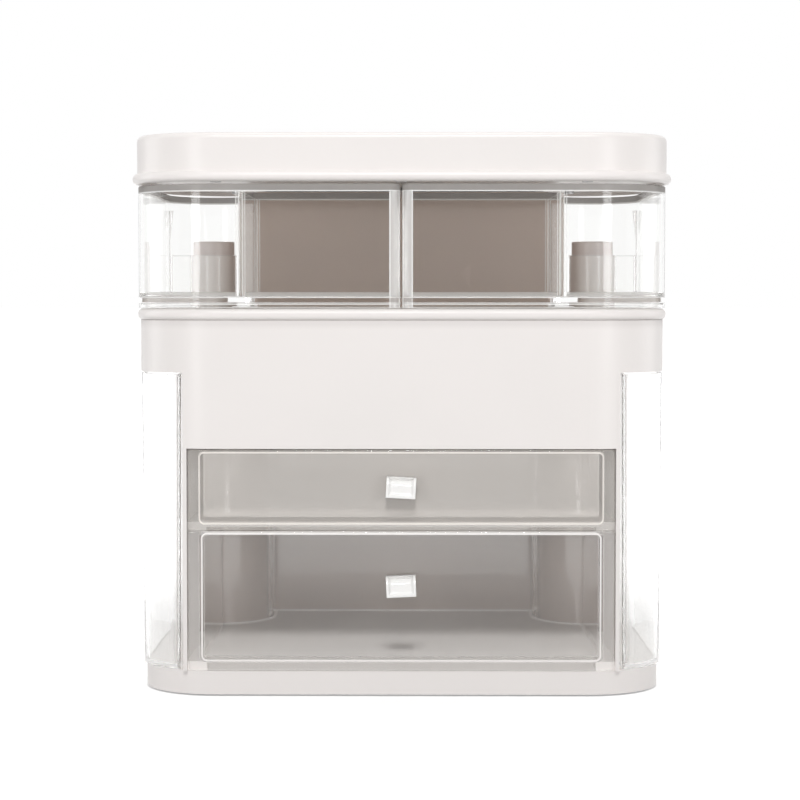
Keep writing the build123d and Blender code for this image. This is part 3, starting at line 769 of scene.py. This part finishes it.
@dataclass
class Lid:
    """The hinged lid."""

    finishes: Finishes

    def build(self) -> None:
        """Dresses the lid's pieces."""
        dress("lid_cover", self.finishes.white)
        dress("lid_liner", self.finishes.white)
        dress("lid_screws", self.finishes.steel)
        dress("lid_hinge_pins", self.finishes.steel)


@dataclass
class SwingPieces:
    """One end's clear tray, divider and bin."""

    side: Side
    finishes: Finishes
    bore_reach: float = 12.0 * MM
    upright: float = 0.5

    def build(self) -> None:
        """Dresses the end's clear pieces."""
        dress(f"{self.side.prefix}_tray", self.finishes.tray)
        dress(f"{self.side.prefix}_tray_divider", self.finishes.clear)
        dress(f"{self.side.prefix}_side_bin", self.finishes.bin)
        self.line_hub()

    def line_hub(self) -> None:
        """Gives the bore of the tray's hub the finish of the post inside it."""
        tray = bpy.data.objects[f"{self.side.prefix}_tray"].data
        tray.materials.append(self.finishes.post)
        middle = Vector((self.side.value * PIVOT_X, PIVOT_Y))
        for face in tray.polygons:
            in_bore = (face.center.xy - middle).length < self.bore_reach
            if in_bore and abs(face.normal.z) < self.upright:
                face.material_index = 1


def start_editing() -> bmesh.types.BMesh:
    """Opens the new primitive in edit mode with nothing selected.

    Returns:
        The mesh that is being edited.
    """
    bpy.ops.object.mode_set(mode="EDIT")
    bpy.ops.mesh.select_mode(type="FACE")
    bpy.ops.mesh.select_all(action="DESELECT")
    return bmesh.from_edit_mesh(bpy.context.object.data)


def pick(
    elements: Iterable[bmesh.types.BMFace | bmesh.types.BMEdge], test: Callable[..., bool]
) -> None:
    """Selects the faces or edges that pass a test, and no others.

    Args:
        elements: Faces or edges of the mesh that is being edited.
        test: Says whether one of them is wanted.
    """
    for element in elements:
        element.select_set(False)
    for element in elements:
        if test(element):
            element.select_set(True)


@dataclass
class PullTab:
    """A drawer's pull tab: a rounded top, side rims, a scooped face and a lip below."""

    level: Level
    finishes: Finishes
    width: float = 15.7 * MM
    height: float = 11.0 * MM
    depth: float = 9.5 * MM
    rim: float = 1.3 * MM
    scoop: float = 0.5 * MM
    dish_steps: int = 3
    dish_narrows: float = 0.035
    dish_lowers: float = 0.05
    top_round: float = 0.48
    top_segments: int = 9
    edge_round: float = 0.35 * MM
    face_y: float = -94.0 * MM

    def build(self) -> None:
        """Shapes the tab, turns it a little as in the photograph and fixes it to its drawer."""
        node = f"{self.level.prefix}_knob"
        low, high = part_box(node)
        middle_x, middle_z = (low[0] + high[0]) / 2, (low[2] + high[2]) / 2
        middle = Vector((middle_x, self.face_y - self.depth / 2, middle_z))
        bpy.ops.object.select_all(action="DESELECT")
        bpy.ops.mesh.primitive_cube_add(size=1.0)
        tab = bpy.context.object
        tab.name = f"{self.level.prefix}_pull_tab"
        mesh = start_editing()
        bpy.ops.mesh.select_all(action="SELECT")
        bpy.ops.transform.resize(value=(self.width, self.depth, self.height))
        bpy.ops.mesh.select_mode(type="EDGE")
        pick(mesh.edges, self.is_top_front)
        offset = self.height * self.top_round
        bpy.ops.mesh.bevel(offset=offset, segments=self.top_segments, affect="EDGES")
        mesh = bmesh.from_edit_mesh(tab.data)
        bpy.ops.mesh.select_mode(type="FACE")
        pick(mesh.faces, self.is_front)
        bpy.ops.mesh.inset(thickness=self.rim, depth=0.0)
        inwards = {"value": (0.0, self.scoop, 0.0)}
        for step in range(1, self.dish_steps + 1):
            bpy.ops.mesh.extrude_region_move(TRANSFORM_OT_translate=inwards)
            narrower, lower = 1.0 - self.dish_narrows * step, 1.0 - self.dish_lowers * step
            bpy.ops.transform.resize(value=(narrower, 1.0, lower))
        bpy.ops.object.mode_set(mode="OBJECT")
        self.soften(tab)
        tab.rotation_euler = (0.0, math.radians(self.level.value), 0.0)
        tab.location = middle
        bpy.ops.object.transform_apply(location=True, rotation=True, scale=True)
        tab.data.materials.append(self.finishes.tab)
        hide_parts(node)
        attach(tab, f"{self.level.prefix}_drawer_body")
        LOG.info("modelled %s", tab.name)

    def is_top_front(self, edge: bmesh.types.BMEdge) -> bool:
        """Whether this is the edge along the top of the front."""
        return all(vert.co.y < 0.0 < vert.co.z for vert in edge.verts)

    def is_front(self, face: bmesh.types.BMFace) -> bool:
        """Whether this face looks at the user."""
        return face.normal.y < -0.25

    def soften(self, tab: bpy.types.Object) -> None:
        """Rounds the tab's edges a little.

        Args:
            tab: The finished shape, active and selected.
        """
        rounding = tab.modifiers.new("rounding", "BEVEL")
        rounding.width = self.edge_round
        rounding.segments = 3
        rounding.limit_method = "ANGLE"
        rounding.angle_limit = math.radians(35.0)
        bpy.ops.object.modifier_apply(modifier="rounding")
        bpy.ops.object.shade_smooth_by_angle(angle=math.radians(40.0))


@dataclass
class Drawer:
    """A clear drawer with its pull tab."""

    level: Level
    finishes: Finishes

    def build(self) -> None:
        """Dresses the drawer, its tab and its screw."""
        dress(f"{self.level.prefix}_drawer", self.finishes.drawers[self.level])
        dress(f"{self.level.prefix}_knob_screw", self.finishes.steel)
        PullTab(self.level, self.finishes).build()


@dataclass(frozen=True)
class Lamp:
    """A round soft lamp, with the point that it is aimed at."""

    name: str
    place: Point
    aim: Point
    size: float
    power: float

    def build(self) -> None:
        """Hangs the lamp and turns it to its aim."""
        data = bpy.data.lights.new(self.name, "AREA")
        data.shape = "DISK"
        data.size = self.size
        data.energy = self.power
        lamp = bpy.data.objects.new(self.name, data)
        bpy.context.scene.collection.objects.link(lamp)
        lamp.location = self.place
        towards = Vector(self.aim) - Vector(self.place)
        lamp.rotation_euler = towards.to_track_quat("-Z", "Y").to_euler()


@dataclass
class Studio:
    """White floor, white surroundings and soft lamps."""

    floor_half: float = 30.0
    glow_near: float = 0.2
    glow_far: float = 0.6
    glow_dim: float = 0.3
    glow_bright: float = 1.0
    floor_lit: Colour = (0.98, 0.98, 0.98)
    floor_plain: Colour = (0.55, 0.55, 0.55)
    sky: float = 0.36
    lamps: tuple[Lamp, ...] = (
        Lamp("key_lamp", (0.0, -1.45, 1.2), (0.0, 0.0, 0.1), 0.4, 12.5),
        Lamp("left_lamp", (-0.9, -1.5, 0.32), (0.0, 0.0, 0.12), 0.36, 3.4),
        Lamp("right_lamp", (0.9, -1.5, 0.32), (0.0, 0.0, 0.12), 0.36, 3.4),
        Lamp("top_lamp", (0.0, 0.1, 1.9), (0.0, 0.0, 0.1), 1.0, 6.0),
        Lamp("left_end_lamp", (-1.5, 0.25, 0.42), (0.0, 0.0, 0.15), 0.9, 4.5),
        Lamp("right_end_lamp", (1.5, 0.25, 0.42), (0.0, 0.0, 0.15), 0.9, 4.5),
    )

    def build(self) -> None:
        """Adds the floor, the world and the lamps."""
        self.build_floor()
        self.build_world()
        for lamp in self.lamps:
            lamp.build()

    def build_floor(self) -> None:
        """Adds the floor, which shows white wherever nothing shades it."""
        bpy.ops.object.select_all(action="DESELECT")
        bpy.ops.mesh.primitive_plane_add(size=2 * self.floor_half)
        floor = bpy.context.object
        floor.name = "floor"
        graph = Graph("floor")
        shown = graph.ray("Is Camera Ray", "Is Glossy Ray", "Is Transmission Ray")
        lit = graph.node("ShaderNodeBsdfDiffuse", {}, self.floor_lit)
        x, y, _ = graph.axes()
        far = x.hypotenuse(y).above(self.glow_near, self.glow_far)
        dim = graph.node("ShaderNodeEmission", {}, WHITE, self.glow_dim)
        bright = graph.node("ShaderNodeEmission", {}, WHITE, self.glow_bright)
        glow = graph.node("ShaderNodeMixShader", {}, far, dim, bright)
        both = graph.node("ShaderNodeAddShader", {}, lit, glow)
        plain = graph.node("ShaderNodeBsdfDiffuse", {}, self.floor_plain)
        choice = graph.node("ShaderNodeMixShader", {}, shown, plain, both)
        graph.tree.links.new(choice.socket, graph.output.inputs["Surface"])
        floor.data.materials.append(graph.material)

    def build_world(self) -> None:
        """Makes the surroundings white to the eye and softer as light."""
        world = bpy.data.worlds.new("studio")
        world.use_nodes = True
        bpy.context.scene.world = world
        tree = world.node_tree
        tree.nodes.clear()
        output = tree.nodes.new("ShaderNodeOutputWorld")
        seen = tree.nodes.new("ShaderNodeLightPath")
        soft = tree.nodes.new("ShaderNodeBackground")
        bright = tree.nodes.new("ShaderNodeBackground")
        soft.inputs["Strength"].default_value = self.sky
        bright.inputs["Strength"].default_value = 1.0
        for background in (soft, bright):
            background.inputs["Color"].default_value = (*WHITE, 1.0)
        sharp = seen.outputs["Is Camera Ray"]
        for kind in ("Is Glossy Ray", "Is Transmission Ray"):
            either = tree.nodes.new("ShaderNodeMath")
            either.operation = "MAXIMUM"
            tree.links.new(sharp, either.inputs[0])
            tree.links.new(seen.outputs[kind], either.inputs[1])
            sharp = either.outputs[0]
        choice = tree.nodes.new("ShaderNodeMixShader")
        tree.links.new(sharp, choice.inputs[0])
        tree.links.new(soft.outputs[0], choice.inputs[1])
        tree.links.new(bright.outputs[0], choice.inputs[2])
        tree.links.new(choice.outputs[0], output.inputs["Surface"])


@dataclass
class PhotoCamera:
    """The camera, at the photograph's place, height and tilt."""

    place: Vector = field(default_factory=lambda: Vector((8.4, -1294.0, 215.2)) * MM)
    focal_px: float = 2269.0
    frame_px: float = 800.0
    sensor_mm: float = 36.0
    vanishing_px: tuple[float, float] = (417.0, 293.0)
    clip: tuple[float, float] = (0.05, 200.0)

    def build(self) -> None:
        """Adds the camera and makes it the scene's."""
        data = bpy.data.cameras.new("camera")
        data.sensor_width = self.sensor_mm
        data.lens = self.focal_px / self.frame_px * self.sensor_mm
        data.clip_start, data.clip_end = self.clip
        camera = bpy.data.objects.new("camera", data)
        bpy.context.scene.collection.objects.link(camera)
        middle = self.frame_px / 2
        pitch = math.atan((middle - self.vanishing_px[1]) / self.focal_px)
        yaw = math.atan((self.vanishing_px[0] - middle) / self.focal_px)
        camera.location = self.place
        camera.rotation_euler = (math.pi / 2 - pitch, 0.0, yaw)
        bpy.context.scene.camera = camera


def let_light_through(most: int = 32) -> None:
    """Lets a ray cross the many clear walls that stand one behind another.

    Args:
        most: How many surfaces a ray may meet.
    """
    cycles = bpy.context.scene.cycles
    cycles.max_bounces = most
    cycles.transmission_bounces = most
    cycles.glossy_bounces = most
    cycles.transparent_max_bounces = most


def main() -> None:
    """Builds the whole scene."""
    logging.basicConfig(level=logging.INFO, format="%(name)s: %(message)s")
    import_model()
    bpy.context.scene.view_settings.view_transform = "Standard"
    let_light_through()
    finishes = Finishes()
    Studio().build()
    PhotoCamera().build()
    Body(finishes).build()
    Lid(finishes).build()
    for side in Side:
        SwingPieces(side, finishes).build()
    for level in Level:
        Drawer(level, finishes).build()


if __name__ == "__main__":
    main()
